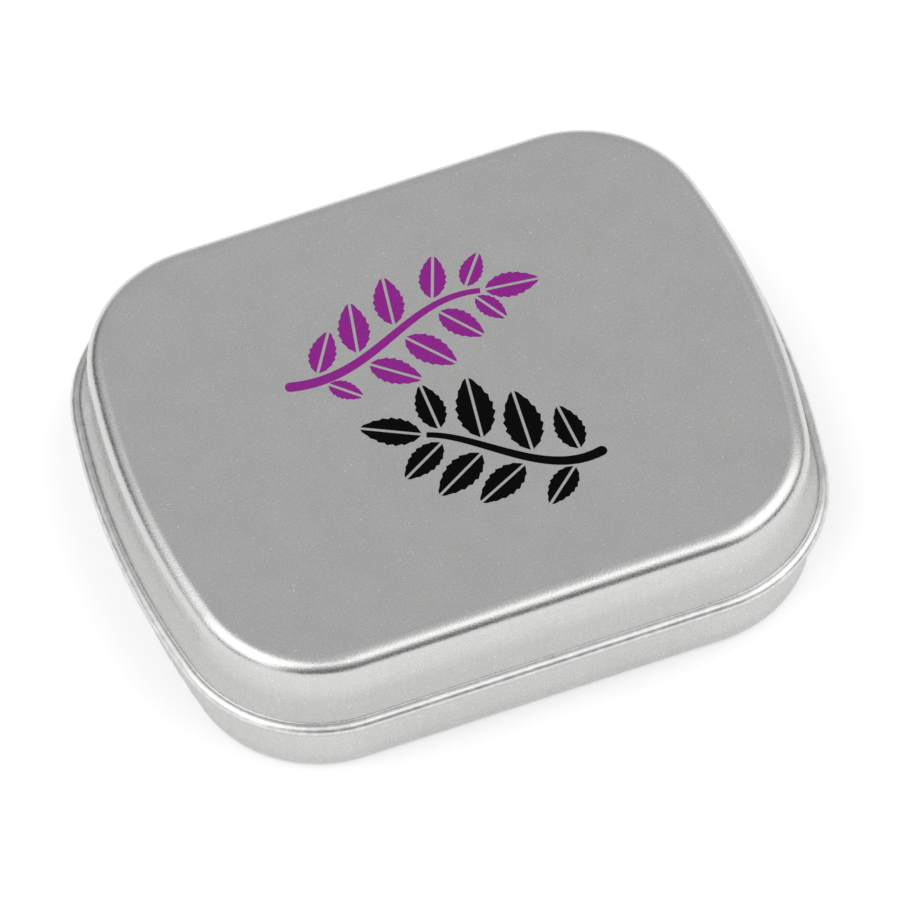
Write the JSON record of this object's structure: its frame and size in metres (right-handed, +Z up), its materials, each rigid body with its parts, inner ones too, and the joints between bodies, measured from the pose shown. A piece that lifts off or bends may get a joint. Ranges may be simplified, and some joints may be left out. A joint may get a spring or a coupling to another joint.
{
  "type": "hinged tin",
  "caption": "Small hinged tin with rounded corners: a drawn metal tray and a lid with a rolled lower edge that turns in hooked straps at the back.",
  "frame": {"origin": "on the surface that the tin stands on, under the middle of the lid's four walls", "axes": "+X along the long side, +Y to the hinge at the back, +Z up"},
  "size_m": [0.0632, 0.051, 0.016],
  "materials": {
    "tinplate_tray": "matt silver lacquered tinplate",
    "tinplate_lid": "matt silver lacquered tinplate",
    "print_purple": "thin printed ornament",
    "print_black": "thin printed ornament"
  },
  "bodies": {
    "tray": {"tray": "tinplate_tray"},
    "lid": {"lid": "tinplate_lid"}
  },
  "joints": [
    {"name": "lid_hinge", "type": "hinge", "parent": "tray", "child": "lid", "pos_m": [0, 0.02465, 0.0081], "axis": [-1, 0, 0], "range_deg": [0, 110]}
  ]
}
